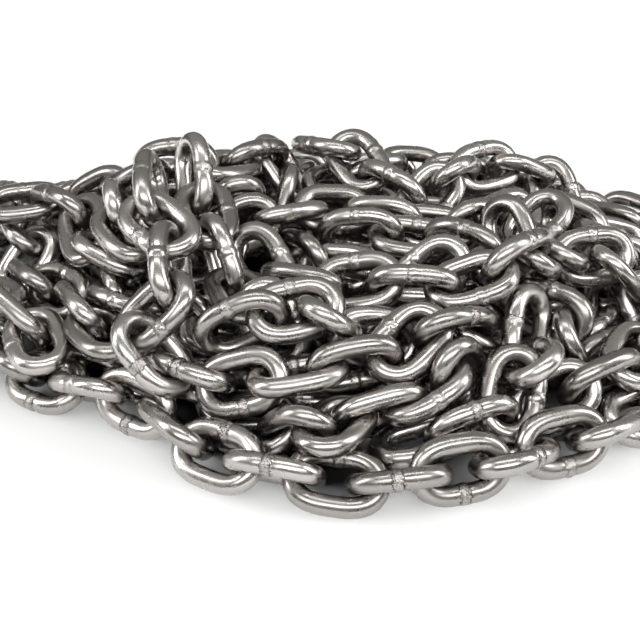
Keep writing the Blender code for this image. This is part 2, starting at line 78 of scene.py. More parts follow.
# Outer strands: name, facing side, the links' turns (used over again where a strand is
# longer), and where each link's centre is meant to lie
OUTER_STRANDS = [
    ("front_floor", FRONT, (90, 0), [
        (-170, 25, 13), (-149, 15, 11), (-127, 7, 14), (-106, -1, 11), (-86, -13, 14),
        (-69, -30, 17), (-55, -47, 12), (-38, -64, 13), (-16, -72, 10), (7, -84, 13),
        (31, -80, 10), (53, -79, 13), (73, -68, 10), (91, -60, 13), (109, -47, 10),
        (127, -36, 13), (145, -22, 10), (162, -8, 11)]),
    ("peak_face", FRONT, (90, 0, 90, 35, 5, 115, 50, 130, 40, 140, 60, 150), [
        (-71, 28, 82), (-66, 6, 74), (-58, -11, 66), (-65, -27, 54), (-65, -36, 39), (-54, -34, 27),
        (-31, -46, 28), (-6, -44, 38), (17, -45, 38), (34, -34, 45), (53, -26, 45), (66, -8, 42)]),
    ("left_face", FRONT, (90, 0, 90, 0, 90, 30, 120, 30), [
        (-168, 104, 38), (-152, 88, 45), (-138, 70, 46), (-131, 50, 36), (-131, 35, 22),
        (-112, 22, 28), (-98, 6, 28), (-86, -14, 32)]),
    ("left_inner", FRONT, (0, 90, 0, 90, 0, 60), [
        (-138, 68, 56), (-118, 62, 60), (-101, 42, 60), (-94, 20, 52), (-86, 26, 36), (-88, 4, 28)]),
    ("top_ridge", FRONT, (0, 100, 50, 130, 50, 130, 60, 0, 90, 20, 100, 20), [
        (-101, 70, 56), (-86, 68, 68), (-65, 64, 76), (-44, 72, 74), (-31, 88, 70), (-19, 96, 64),
        (-6, 80, 54), (-23, 60, 50), (-13, 36, 46), (7, 20, 44), (29, 10, 44), (50, 4, 46)]),
    ("peak_side", FRONT, (0, 90, 50, -20, 70), [
        (-54, 47, 80), (-50, 27, 68), (-42, 10, 57), (-28, -9, 47), (-20, -26, 36)]),
    ("saddle", FRONT, (60, 130, 30, 100, 0, 90, 0), [
        (12, 46, 56), (37, 36, 55), (63, 29, 54), (80, 12, 44), (101, -1, 37), (107, -17, 28),
        (122, -4, 18)]),
    ("back_ridge", FRONT, (90, 0, 90, 0, 90, 0, 90, 0, 70, 150, 60, 150), [
        (-1, 112, 64), (18, 96, 63), (34, 76, 58), (52, 72, 59), (63, 90, 62), (82, 104, 60),
        (100, 114, 56), (118, 112, 44), (130, 98, 32), (148, 98, 22), (166, 90, 16), (182, 76, 13)]),
    ("right_face", FRONT, (0, 90, 130, 50, 130, 50), [
        (100, 58, 52), (99, 34, 42), (116, 46, 38), (131, 27, 36), (148, 28, 22), (166, 16, 13)]),
    ("mid_face", FRONT, (90, 10, 110, 20), [
        (-34, -28, 44), (-10, -20, 46), (8, -32, 48), (22, -18, 36)]),
    ("front_low_left", FRONT, (0, 90, 0, 90, 150, 60), [
        (-28, -54, 18), (-11, -62, 20), (6, -62, 24), (22, -56, 26), (40, -52, 32), (55, -36, 34)]),
    ("front_low_right", FRONT, (30, 120, 30, 110, 20), [
        (34, -62, 22), (58, -56, 24), (78, -48, 26), (78, -34, 34), (84, -14, 36)]),
    ("right_low", FRONT, (0, 90), [
        (92, -42, 22), (110, -34, 24), (126, -18, 24), (140, 2, 26), (152, 14, 20)]),
    ("left_low", FRONT, TILTED, [
        (-158, 34, 16), (-146, 22, 26), (-128, 10, 26), (-106, -4, 22)]),
    ("left_edge", UP, TILTED, [
        (-176, 50, 13), (-174, 72, 22), (-164, 92, 28), (-150, 112, 30), (-128, 122, 30),
        (-106, 118, 38)]),
    ("left_top", UP, TILTED, [
        (-126, 92, 42), (-104, 94, 48), (-80, 90, 58), (-60, 98, 58), (-40, 108, 54),
        (-20, 116, 52)]),
    ("right_edge", UP, TILTED, [
        (120, 86, 38), (134, 70, 34), (150, 58, 25), (166, 50, 17), (178, 34, 13)]),
    ("centre_top", UP, TILTED, [
        (-36, 42, 58), (-16, 52, 55), (6, 66, 54), (30, 62, 54), (52, 50, 53), (74, 58, 50),
        (92, 78, 46)]),
    ("centre_back", UP, TILTED, [
        (4, 94, 57), (26, 112, 56), (50, 120, 54), (74, 126, 50), (96, 136, 38)]),
    ("centre_front", UP, TILTED, [
        (-30, 14, 54), (-8, 4, 48), (16, -4, 48), (38, -14, 46), (60, -12, 44), (84, -2, 44),
        (92, 20, 46), (80, 38, 50)]),
    ("back_left", BACK, TILTED, [
        (-142, 142, 18), (-118, 144, 22), (-94, 132, 34), (-72, 118, 48), (-50, 126, 46),
        (-28, 134, 42)]),
    ("back_mid", BACK, TILTED, [
        (-86, 150, 26), (-62, 146, 32), (-38, 150, 31), (-14, 148, 35), (10, 136, 42), (34, 138, 40),
        (58, 144, 34), (80, 150, 28)]),
    ("back_right", BACK, TILTED, [
        (158, 134, 14), (138, 136, 18), (116, 142, 24), (98, 156, 20), (76, 162, 22), (52, 162, 24),
        (28, 164, 22), (4, 166, 21), (-20, 164, 22), (-44, 168, 20), (-68, 168, 18),
        (-92, 160, 18)]),
    ("back_floor", UP, TILTED, [
        (-158, 18, 11), (-176, 30, 11), (-190, 48, 11), (-184, 72, 11), (-192, 94, 11),
        (-186, 118, 11), (-170, 134, 11), (-158, 154, 11), (-136, 160, 12), (-116, 174, 11),
        (-92, 178, 11), (-70, 172, 12), (-48, 180, 11), (-26, 190, 11), (-4, 182, 11), (18, 176, 12),
        (42, 182, 11), (64, 190, 11), (86, 180, 11), (108, 172, 12), (132, 172, 11), (152, 160, 11),
        (164, 140, 12), (182, 126, 11), (190, 104, 11), (182, 82, 11), (190, 60, 11), (184, 38, 11),
        (172, 18, 12)]),
]

# Strands hidden inside the heap, as wavering rings round a middle: name, how far out,
# height, start angle in degrees, middle, and half length and half width at full reach
HEAP_MIDDLE = (0.0, 54.0)
WAVER = 0.06                     # how much a ring's reach changes on its way round
WAVER_TIMES = 3                  # and how many times
RIPPLE = 2.0                     # how much its height changes
RIPPLE_TIMES = 5                 # and how many times
RING_STEPS = 400
HIDDEN_RINGS = [
    ("base_outer", 0.76, 12, 17, HEAP_MIDDLE, (176, 112)),
    ("base_middle", 0.60, 12, 63, HEAP_MIDDLE, (176, 112)),
    ("base_inner", 0.38, 12, 11, HEAP_MIDDLE, (176, 112)),
    ("second_outer", 0.66, 31, 29, HEAP_MIDDLE, (168, 104)),
    ("second_inner", 0.40, 31, 52, HEAP_MIDDLE, (168, 104)),
    ("peak_ring", 1.0, 56, 23, (-66, 40), (26, 26)),
]

# The seating rule
STRETCH = 2.0                    # the strands start this much higher than they end
START_LIFT = 2.0
APART = 24.0                     # first spacing between links of different strands
LEAST_SPAN = 44.5                # from a link to the next but one, at a strand's sharpest bend
LOWEST_START = 9.0               # no link's centre starts lower
SPREAD_PASSES = 150
PASSES_PER_LIST = 5              # how long one list of near links is used
STRAND_PUSH = 0.25               # share of a lack of room that one pass makes up
HOME_PULL = 0.02
PITCH_ROUNDS = 6
PITCH_PULL = 0.4
SPAN_PUSH = 0.3
SQUARING = 1.0                   # how strongly a link is turned square to its last neighbour
LOWER_STEPS = 240
LOWERED_BY = 0.85                # share of those steps after which the routes are down
LOWER_PULL = 0.15
LONGEST_PULL = 0.8
PASSES_PER_STEP = 4
SINK_PASSES = 120                # passes in which every link sinks a little more
SINK = 0.04
SETTLE_PASSES = 260
SPREAD_REACH = 48.0              # links with centres nearer than this are near links
SEAT_REACH = 44.0
FELT = 1.5                       # how far past bearing on each other two wires are looked at
SHARED_PUSH = 0.4                # how much the pushes on one link are shared out
LONGEST_MOVE = 1.0
LOOP_POINTS = 16                 # points felt round one link
SAME_BEARING = 2                 # points beside each other count as one bearing place
BEARING_ROUNDS = 3
TURN_ARM = 12.0                  # how far out a push must be to turn a link with ease
AXIS_POINTS = (-9.0, -3.0, 3.0, 9.0)
NEARLY_ALONG = 0.2               # a facing side this near the strand's own line isn't used
FAR = 1e9
TINY = 1e-9
DECIMALS = 6                     # centres are rounded, so that unlike last digits don't grow
AXIS_DECIMALS = 9

LONGEST_RUN = 5                  # links in one piece

# The cage of a link, which a Subdivision Surface rounds. The surface ends up inside its
# cage, so the cage's section is wider than the wire and its bends start further out.
CAGE_SIDES = 6
ROUNDED_TO = 0.8333              # share of a six-sided cage's radius that its surface has
CAGE_RADIUS = WIRE / 2 / ROUNDED_TO
BEND_STEPS = 5
BEND_CENTRE = 7.01               # a bend of five steps ends up at 0.936 of its radius
BEND_FULLNESS = 1.06             # and at 0.94 of its thickness
MERGE = 0.01                     # corners nearer than this are one corner
OUTER_LEVELS = 2
HIDDEN_LEVELS = 1

# The flash weld
WELD_RINGS = (0.9, 2.0, 3.1)     # the cage's sections beside it: ridge, groove, plain wire
WELD_FELT = 8.0                  # the material sees the weld from this far
WELD_LUMPS = 2.5                 # corners this near it are uneven
LUMP_HEIGHT = 0.15
FAINTEST_WELD = 0.12             # how plainly the faintest weld shows, where 1 is the plainest
FAINTNESS = 1.8                  # the higher this is, the more welds are faint
WELD_SIDES = {  # whether the weld is on the link's other side, by strand and number from 0
    ("front_floor", 7): True, ("front_floor", 8): True, ("front_floor", 9): True,
    ("front_floor", 10): True, ("front_floor", 11): False, ("front_floor", 12): True,
}
OTHER_SIDE_SHARE = 0.5           # share of all other links with the weld on their other side

# Seeds of the random draws, which lie from 0 to 1
OUTER_SEED = 7
HIDDEN_SEED = 8
SHOWN_SEED = 9
DRAW_MIDDLE = 0.5

# Real sizes of the steel's marks. Patterns on the object are in metres, and depths and
# patterns that follow the wire are in millimetres.
NOISE_MIDDLE = 0.5               # a noise pattern lies round this
NOISE_LOW = 0.3                  # and mostly between these two
NOISE_HIGH = 0.7
SMUDGE = 0.011                   # cloudy marks from tumbling
DENT = 0.0030                    # knocks, wide and shallow
DENT_DEPTH = 0.017
GRAIN = 0.0006                   # tumbling pits, really about 0.1 mm, coarser here so they show
GRAIN_DEPTH = 0.002
GRAIN_SPREAD = 0.05
ROUGHNESS_SPREAD = 0.05
LUMP = 0.0014                    # beads of the weld flash
LUMP_DEPTH = 0.45
WELD_EDGE = 4.2                  # where the bead ends: distance plus its raggedness
WELD_RAG = 4.5
CRACK = 0.22                     # half the width of the crack at the bead's edge, painted dark as shade
CRACK_STRENGTH = 0.85
VEIN = 0.018                     # half the span of the lumps' pattern that is a vein, painted dark as the shade in a crack
DRAW_LINES = [(1.0, 40.0, 0.05), (0.45, 14.0, 0.02)]  # width, length and depth of draw lines

# The studio, in metres, and the camera, in millimetres of the layout
FLOOR_RADIUS = 1.2
FLOOR_SIDES = 64
FLOOR_ROUGHNESS = 0.6
FLOOR_SPECULAR = 0.1
FLOOR_GRAIN = 0.0015
FLOOR_EVENNESS = 0.985
WALLS_UNTIL = 0.05               # sine of the height up to which the walls reach
CEILING_FROM = 0.5               # and from which the room is evenly grey
PAPER_LEVEL = 1.3                # brightness of the white paper behind
IMAGE_WIDTH = 640
CAMERA_FOCUS = 1100              # focal length in pixels
NEAREST_SEEN = 0.01
CAMERA_PLACE = (0, -400.1, 261)
CAMERA_TARGET = (0, 0, 30)
# Floor lights stand low all round, so the heap's shadow is narrow and the holes of the links
# on the floor are dark. The strips and softboxes are what the steel reflects.
SOFTBOXES = [  # name, place, width, height, watts, and whether it lights the floor
    ("overhead floor light", (0.0, 0.0, 1.2), 1.2, 1.0, 2, True),
    ("front floor light", (0.1, -1.3, 0.25), 2.2, 0.2, 48, True),
    ("left floor light", (-1.4, -0.1, 0.25), 1.8, 0.2, 44, True),
    ("right floor light", (1.4, -0.1, 0.25), 1.8, 0.2, 40, True),
    ("back floor light", (0.0, 1.4, 0.3), 1.8, 0.25, 24, True),
    ("front strip", (0.1, -0.85, 0.75), 1.6, 0.3, 6.2, False),
    ("top strip", (0.0, -0.15, 1.25), 1.3, 0.12, 3.0, False),
    ("left softbox", (-1.05, -0.25, 0.6), 0.25, 0.9, 4, False),
    ("right softbox", (1.05, -0.1, 0.6), 0.25, 0.9, 4, False),
]


def hidden_route(reach, height, start_degrees, middle, half):
    """A wavering ring, with a point at every link and its ends just apart."""
    start = math.radians(start_degrees)
    angle = np.linspace(start, start + 2 * math.pi, RING_STEPS)
    waver = reach * (1 + WAVER * np.sin(WAVER_TIMES * angle + 2 * start))
    ring = np.stack([middle[0] + half[0] * waver * np.cos(angle),
                     middle[1] + half[1] * waver * np.sin(angle),
                     height + RIPPLE * np.sin(RIPPLE_TIMES * angle)], -1)
    along = np.concatenate([[0], np.cumsum(np.sqrt((np.diff(ring, axis=0) ** 2).sum(1)))])
    at = np.arange(0, along[-1] - SPACING / 2, SPACING)
    return np.stack([np.interp(at, along, ring[:, axis]) for axis in range(3)], -1)


def across(direction, facing):
    """The part of facing that is square to direction, at unit length."""
    square = facing - direction * (facing @ direction)
    if square @ square < NEARLY_ALONG ** 2:
        other = np.array(UP) if abs(direction[2]) < 1 - NEARLY_ALONG else np.array(BACK)
        square = other - direction * (other @ direction)
    return square / math.sqrt(square @ square)


def links_along(facing, turns, route):
    """Centres and axes of the links of one strand, one at each point of its route."""
    centres = np.array(route, float)
    axes = []
    for k, direction in enumerate(np.gradient(centres, axis=0)):
        direction = direction / math.sqrt(direction @ direction)
        normal = across(direction, np.array(facing))
        side = np.cross(normal, direction)
        turn = math.radians(turns[k % len(turns)])
        width = math.cos(turn) * side + math.sin(turn) * normal
        axes.append(np.stack([direction, width, np.cross(direction, width)], -1))
    return centres, np.array(axes)


def loop_points():
    """Points evenly round a link's centreline, in the link's own axes."""
    per_end = math.pi * END_RADIUS
    length = 4 * HALF_STRAIGHT + 2 * per_end
    points = []
    for k in range(LOOP_POINTS):
        run = (k + 0.5) * length / LOOP_POINTS
        side = -1
        if run >= 2 * HALF_STRAIGHT + per_end:
            run -= 2 * HALF_STRAIGHT + per_end
            side = 1
        if run < 2 * HALF_STRAIGHT:
            points.append((side * (HALF_STRAIGHT - run), side * END_RADIUS, 0))
        else:
            angle = (run - 2 * HALF_STRAIGHT) / END_RADIUS
            points.append((-side * (HALF_STRAIGHT + END_RADIUS * math.sin(angle)),
                           side * END_RADIUS * math.cos(angle), 0))
    return np.array(points, float)


LOOP = loop_points()


def to_loop(points, centres, axes):
    """The nearest points of the links' centrelines to the given points."""
    local = np.einsum("nji,nj->ni", axes, points - centres)
    return centres + np.einsum("nij,nj->ni", axes, nearest_on_loop(local))


def nearest_on_loop(local):
    """The nearest point of a link's centreline, in the link's own axes."""
    core = np.clip(local[..., 0], -HALF_STRAIGHT, HALF_STRAIGHT)
    along = local[..., 0] - core
    over = np.where(np.abs(local[..., 1]) < TINY, TINY, local[..., 1])
    length = np.sqrt(along * along + over * over)
    nearest = np.zeros_like(local)
    nearest[..., 0] = core + along / length * END_RADIUS
    nearest[..., 1] = over / length * END_RADIUS
    return nearest


def near_pairs(centres, reach):
    """Pairs of links whose centres are within reach."""
    apart = centres[:, None] - centres[None]
    return np.nonzero(np.triu((apart * apart).sum(-1) < reach * reach, 1))


def nearest_two(gaps, within):
    """Where two links come within reach, by row and point of the loop: their nearest
    place, and the next nearest that isn't beside it."""
    rows = np.arange(len(gaps))
    nearest = gaps.argmin(1)
    round_to = (np.arange(LOOP_POINTS)[None] - nearest[:, None]) % LOOP_POINTS
    beside = (round_to <= SAME_BEARING) | (round_to >= LOOP_POINTS - SAME_BEARING)
    elsewhere = np.where(beside, FAR, gaps)
    other = elsewhere.argmin(1)
    near = gaps[rows, nearest] < within
    far = elsewhere[rows, other] < within
    return np.concatenate([rows[near], rows[far]]), np.concatenate([nearest[near], other[far]])


def bearings(centres, axes, first, second, within):
    """Where two links come near: both indices, the point on each, the unit line
    between them and its length. Two links can bear on each other in two places."""
    loops = centres[:, None] + np.einsum("nij,kj->nki", axes, LOOP)
    points = loops[first]
    local = np.einsum("mab,mka->mkb", axes[second], points - centres[second][:, None])
    gaps = np.sqrt(((local - nearest_on_loop(local)) ** 2).sum(-1))
    pair, spot = nearest_two(gaps, within)
    one = first[pair]
    two = second[pair]
    point = points[pair, spot]
    for _ in range(BEARING_ROUNDS):
        seat = to_loop(point, centres[two], axes[two])
        point = to_loop(seat, centres[one], axes[one])
    seat = to_loop(point, centres[two], axes[two])
    line = point - seat
    length = np.sqrt((line * line).sum(-1))
    return one, two, point, seat, line / np.maximum(length, TINY)[:, None], length


def unit_axes(along, width):
    """Three square axes from a long axis and a rough width axis."""
    along = along / np.sqrt((along * along).sum(-1))[:, None]
    width = width - (along * width).sum(-1)[:, None] * along
    width = width / np.sqrt((width * width).sum(-1))[:, None]
    return np.stack([along, width, np.cross(along, width)], -1)


def gather(index, values, count):
    """Sum vectors into the rows that index names."""
    return np.stack([np.bincount(index, values[:, axis], count) for axis in range(3)], -1)


def keep_pitch(centres, start, bend):
    """Bring neighbouring links to one pitch, and push a link and the next but one apart
    where their strand bends too sharply."""
    count = len(centres)
    for _ in range(PITCH_ROUNDS):
        line = centres[start + 1] - centres[start]
        length = np.sqrt((line * line).sum(-1))
        pull = PITCH_PULL * (length - SPACING) / np.maximum(length, TINY)
        move = pull[:, None] * line
        centres = centres + gather(start, move, count) - gather(start + 1, move, count)
        line = centres[bend + 2] - centres[bend]
        length = np.sqrt((line * line).sum(-1))
        push = SPAN_PUSH * np.maximum(0, LEAST_SPAN - length) / np.maximum(length, TINY)
        move = push[:, None] * line
        centres = centres - gather(bend, move, count) + gather(bend + 2, move, count)
    return centres


def spread_strands(centres, axes, strand, home):
    """Move links of different strands apart, with their neighbours kept at one pitch."""
    count = len(centres)
    start = np.nonzero(strand[1:] == strand[:-1])[0]
    bend = np.nonzero(strand[2:] == strand[:-2])[0]
    spine = np.array([(x, 0.0, 0.0) for x in AXIS_POINTS])
    for step in range(SPREAD_PASSES):
        if step % PASSES_PER_LIST == 0:
            one, two = near_pairs(centres, SPREAD_REACH)
            apart = ~((strand[one] == strand[two]) & (np.abs(one - two) <= 1))
            one, two = one[apart], two[apart]
        points = centres[:, None] + np.einsum("nij,kj->nki", axes, spine)
        lines = points[one][:, :, None] - points[two][:, None]
        lengths = np.sqrt((lines * lines).sum(-1)).reshape(len(one), -1)
        rows = np.arange(len(one))
        best = lengths.argmin(1)
        line = lines.reshape(len(one), -1, 3)[rows, best]
        length = lengths[rows, best]
        push = STRAND_PUSH * np.maximum(0, APART - length) / np.maximum(length, TINY)
        move = push[:, None] * line
        centres = centres + gather(one, move, count) - gather(two, move, count)
        centres = centres + HOME_PULL * (home - centres)
        centres[:, 2] = np.maximum(centres[:, 2], LOWEST_START)
        centres = np.round(keep_pitch(centres, start, bend), DECIMALS)
    return centres


def follow_chain(centres, axes, strand):
    """Turn each link so that its long axis runs from its last neighbour to its next, and
    so that it stands nearly square to its last neighbour."""
    last = np.arange(len(centres)) - 1
    following = last + 2
    last = np.where((last < 0) | (strand[last] != strand), last + 1, last)
    wrapped = following % len(centres)
    ends = (following == len(centres)) | (strand[wrapped] != strand)
    following = np.where(ends, following - 1, following)
    axes = unit_axes(centres[following] - centres[last], axes[:, :, 1])
    for k in np.nonzero(strand[1:] == strand[:-1])[0] + 1:
        square = np.cross(axes[k, :, 0], axes[k - 1, :, 1])
        square /= max(math.sqrt(square @ square), NEARLY_ALONG)
        if square @ axes[k, :, 1] < 0:
            square = -square
        axes[k] = unit_axes(axes[k:k + 1, :, 0], axes[k:k + 1, :, 1] + SQUARING * square)[0]
    return axes


def lift_links(centres, axes):
    """How far one pass lifts each link out of the floor, how far it turns it, and whether
    it is in the floor."""
    count = len(centres)
    loops = np.einsum("nij,kj->nki", axes, LOOP)
    low = loops[np.arange(count), loops[:, :, 2].argmin(1)]
    sunk = np.maximum(0, WIRE / 2 - centres[:, 2] - low[:, 2])
    arm = np.stack([low[:, 1], -low[:, 0], np.zeros(count)], -1)
    lift = np.minimum(sunk, FELT) / (1 + (arm ** 2).sum(-1) / TURN_ARM ** 2)
    return lift, lift[:, None] * arm, sunk > 0


def seat_links(centres, axes, one, two):
    """Push apart the wires that are too near, and lift what is in the floor, by one pass."""
    count = len(centres)
    limit = WIRE + GAP
    one, two, point, seat, line, length = bearings(centres, axes, one, two, limit + FELT)
    lack = np.maximum(0, limit - length)
    arm_one = np.cross(point - centres[one], line)
    arm_two = np.cross(seat - centres[two], line)
    ease = 2 + ((arm_one ** 2).sum(-1) + (arm_two ** 2).sum(-1)) / TURN_ARM ** 2
    push = (np.minimum(lack, FELT) / ease)[:, None]
    move = gather(one, push * line, count) - gather(two, push * line, count)
    turn = gather(one, push * arm_one, count) - gather(two, push * arm_two, count)
    bears = (lack > 0).astype(float)
    held = np.bincount(one, bears, count) + np.bincount(two, bears, count)
    lift, lift_turn, in_floor = lift_links(centres, axes)
    move[:, 2] += lift
    turn += lift_turn
    held += in_floor

    share = 1 / np.maximum(1, SHARED_PUSH * held)[:, None]
    move *= share
    turn *= share / TURN_ARM ** 2
    size = np.sqrt((move ** 2).sum(1))
    move *= np.minimum(1, LONGEST_MOVE / np.maximum(size, TINY))[:, None]
    axes = unit_axes(axes[:, :, 0] + np.cross(turn, axes[:, :, 0]),
                     axes[:, :, 1] + np.cross(turn, axes[:, :, 1]))
    return np.round(centres + move, DECIMALS), np.round(axes, AXIS_DECIMALS)


def lay_out(strands):
    """Place every link: spread the strands above the floor, lower them, let them sink on
    each other, and clear the last overlaps."""
    placed = [links_along(*rule) for _, *rule in strands]
    strand = np.concatenate([[k] * len(links[0]) for k, links in enumerate(placed)])
    home = np.vstack([links[0] for links in placed])
    axes = np.vstack([links[1] for links in placed])
    raised = home * (1, 1, STRETCH) + (0, 0, START_LIFT)
    centres = spread_strands(raised, axes, strand, raised)
    axes = follow_chain(centres, axes, strand)
    for step in range(LOWER_STEPS + SINK_PASSES + SETTLE_PASSES):
        if step % PASSES_PER_LIST == 0:
            one, two = near_pairs(centres, SEAT_REACH)
        passes = 1
        if step < LOWER_STEPS:
            lowered = min(1.0, step / (LOWERED_BY * LOWER_STEPS))
            goal = home * (1, 1, STRETCH + (1 - STRETCH) * lowered)
            pull = LOWER_PULL * (goal - centres)
            size = np.sqrt((pull * pull).sum(1))
            pull *= np.minimum(1, LONGEST_PULL / np.maximum(size, TINY))[:, None]
            centres = centres + pull
            passes = PASSES_PER_STEP
        elif step < LOWER_STEPS + SINK_PASSES:
            centres = centres - (0, 0, SINK)
        for _ in range(passes):
            centres, axes = seat_links(centres, axes, one, two)
    return centres, axes, strand


def heap_links():
    """Every link's centre and axes, the strand names, how many links are outer ones, and
    the point of the layout that the heap's middle lies at."""
    hidden = [(name, UP, TILTED, hidden_route(*rule)) for name, *rule in HIDDEN_RINGS]
    strands = OUTER_STRANDS + hidden
    centres, axes, strand = lay_out(strands)
    outer = int((strand < len(OUTER_STRANDS)).sum())
    loops = centres[:outer, None] + np.einsum("nij,kj->nki", axes[:outer], LOOP)
    loops = loops.reshape(-1, 3)
    middle = (loops.min(0) + loops.max(0)) / 2 * (1, 1, 0)
    names = [strands[k][0] for k in strand]
    return centres - middle, axes, names, outer, middle


CENTRES, AXES, STRAND_NAMES, OUTER_COUNT, MIDDLE = heap_links()

# How plainly each link's weld shows. Many are all but worn off by the tumbling.
DRAWS = np.random.default_rng(SHOWN_SEED).random(len(CENTRES))
WELD_SHOWN = FAINTEST_WELD + (1 - FAINTEST_WELD) * DRAWS ** FAINTNESS

# The sockets of a Mix node that mixes colours, which share their names with others
SHARE, FROM, TO = 0, 6, 7
MIXED = 2


def linear(hex_colour):
    """An sRGB hex colour as linear red, green and blue."""
    shares = [int(hex_colour[k:k + 2], 16) / 255 for k in (1, 3, 5)]
    return tuple(c / 12.92 if c <= 0.04045 else ((c + 0.055) / 1.055) ** 2.4 for c in shares)


def add_node(tree, kind, settings=None, values=None):
    """Add one node with its settings, and with a value or a link for each named socket."""
    node = tree.nodes.new(kind)
    for name, value in (settings or {}).items():
        setattr(node, name, value)
    for name, value in (values or {}).items():
        if isinstance(value, bpy.types.NodeSocket):
            tree.links.new(value, node.inputs[name])
        else:
            node.inputs[name].default_value = value
    return node


def path_length(x, y):
    """How far along the link's wire a place is, from the middle of the weld."""
    half_turn = math.pi * END_RADIUS
    past = abs(x) - HALF_STRAIGHT
    if past <= 0 and y < 0:
        run = abs(x)
    elif past <= 0:
        run = 2 * HALF_STRAIGHT + half_turn - abs(x)
    else:
        run = HALF_STRAIGHT + END_RADIUS * math.atan2(past, -y)
    return run if x > 0 else 4 * HALF_STRAIGHT + 2 * half_turn - run


def link_cage(chain):
    """The cage of one link in its own axes, in millimetres, as a mesh. Its wire starts
    just past the weld, and is drawn along the side, round an end, along the other side,
    round the other end and back to the weld. Each vertex keeps where it lies on the wire
    and how far it is from the weld."""
    cage = bmesh.new()
    start = bmesh.ops.create_circle(cage, segments=CAGE_SIDES, radius=CAGE_RADIUS,
                                    matrix=Matrix.Rotation(math.pi / 2, 4, "Y"))["verts"]
    bmesh.ops.translate(cage, verts=start, vec=(WELD_RINGS[0], -END_RADIUS, 0))
    section = list(cage.edges)
    for side in (1, -1):
        stops = (*WELD_RINGS[1:], BEND_CENTRE) if side > 0 else (0, -BEND_CENTRE)
        for x in stops:
            section, verts = draw_on(cage, section)
            shift = x - sum(v.co.x for v in verts) / len(verts)
            bmesh.ops.translate(cage, verts=verts, vec=(shift, 0, 0))
        turned = bmesh.ops.spin(cage, geom=section, cent=(side * BEND_CENTRE, 0, 0),
                                axis=(0, 0, 1), angle=math.pi, steps=BEND_STEPS)
        section = [e for e in turned["geom_last"] if isinstance(e, bmesh.types.BMEdge)]
    for x in reversed(WELD_RINGS):
        section, verts = draw_on(cage, section)
        shift = -x - sum(v.co.x for v in verts) / len(verts)
        bmesh.ops.translate(cage, verts=verts, vec=(shift, 0, 0))
    bmesh.ops.remove_doubles(cage, verts=cage.verts, dist=MERGE)
    rims = [edge for edge in cage.edges if edge.is_boundary]
    bmesh.ops.bridge_loops(cage, edges=rims)
    bmesh.ops.recalc_face_normals(cage, faces=cage.faces)
    mark_wire(cage, chain)
    mesh = bpy.data.meshes.new("link_cage")
    cage.to_mesh(mesh)
    cage.free()
    return mesh


def draw_on(cage, section):
    """Draw the wire on from one section: the new section's edges and vertices."""
    drawn = bmesh.ops.extrude_edge_only(cage, edges=section)["geom"]
    edges = [part for part in drawn if isinstance(part, bmesh.types.BMEdge)]
    verts = [part for part in drawn if isinstance(part, bmesh.types.BMVert)]
    return edges, verts


def mark_wire(cage, chain):
    """Write each vertex's place on the wire, and swell or thin the wire there."""
    on_wire = cage.verts.layers.float_vector.new("wire")
    from_weld = cage.verts.layers.float.new("weld")
    swell = {WELD_RINGS[0]: 1 + chain.weld_ridge, WELD_RINGS[1]: 1 - chain.weld_groove}
    for vertex in cage.verts:
        x, y, z = vertex.co
        core = max(-HALF_STRAIGHT, min(HALF_STRAIGHT, x))
        outward = math.hypot(x - core, y) - END_RADIUS
        vertex[on_wire] = (outward, z, path_length(x, y))
        vertex[from_weld] = min(abs(x), WELD_FELT) if y < 0 else WELD_FELT
        if abs(x) > BEND_CENTRE + MERGE:
            centre = Vector((math.copysign(BEND_CENTRE, x), 0, 0))
            ray = Vector((x, y, 0)) - centre
            middle = centre + ray.normalized() * END_RADIUS
            vertex.co = middle + (vertex.co - middle) * BEND_FULLNESS
            vertex.co.z = z
        elif y < 0:
            for ring, size in swell.items():
                if abs(abs(x) - ring) < MERGE:
                    middle = Vector((x, -END_RADIUS, 0))
                    vertex.co = middle + (vertex.co - middle) * size


def placement(centre, axes, flipped):
    """The matrix that puts a link's own axes in the heap, in metres, with its weld on
    either of its two sides."""
    matrix = Matrix(axes.tolist()).to_4x4() @ Matrix.Diagonal((MM, MM, MM, 1))
    matrix.translation = Vector(centre.tolist()) * MM
    if flipped:
        matrix = matrix @ Matrix.Rotation(math.pi, 4, "X")
    return matrix


def add_link(shape, cage, k, chance):
    """Add one link to a shape, in its place, with its own tone and weld."""
    strand = STRAND_NAMES[k]
    link = (strand, k - STRAND_NAMES.index(strand))
    plainness = 1.0 if link in WELD_SIDES else WELD_SHOWN[k]
    start = len(shape.verts)
    shape.from_mesh(cage)
    shape.verts.ensure_lookup_table()
    new = shape.verts[start:]
    weld = shape.verts.layers.float["weld"]
    tone = shape.verts.layers.float["tone"]
    shown = shape.verts.layers.float["shown"]
    shade = chance.random()
    for vertex in new:
        vertex[tone] = shade
        vertex[shown] = plainness
        if vertex[weld] < WELD_LUMPS:
            middle = Vector((vertex.co.x, -END_RADIUS, 0))
            lump = 1 + LUMP_HEIGHT * plainness * (chance.random() - DRAW_MIDDLE)
            vertex.co = middle + (vertex.co - middle) * lump
    either = chance.random() < OTHER_SIDE_SHARE
    flipped = WELD_SIDES.get(link, either)
    bmesh.ops.transform(shape, matrix=placement(CENTRES[k], AXES[k], flipped), verts=new)


def link_piece(name, indices, cage, levels, nodes, material, chance):
    """Links as one piece, which Subdivision Surface rounds to drawn wire."""
    shape = bmesh.new()
    shape.verts.layers.float.new("tone")
    shape.verts.layers.float.new("shown")
    for k in indices:
        add_link(shape, cage, k, chance)
    mesh = bpy.data.meshes.new(name)
    shape.to_mesh(mesh)
    shape.free()
    mesh.shade_smooth()
    mesh.materials.append(material)
    piece = bpy.data.objects.new(name, mesh)
    bpy.context.scene.collection.objects.link(piece)
    smooth = piece.modifiers.new("round wire", "SUBSURF")
    smooth.levels = levels
    smooth.render_levels = levels
    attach(piece, "root")
    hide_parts(*nodes)


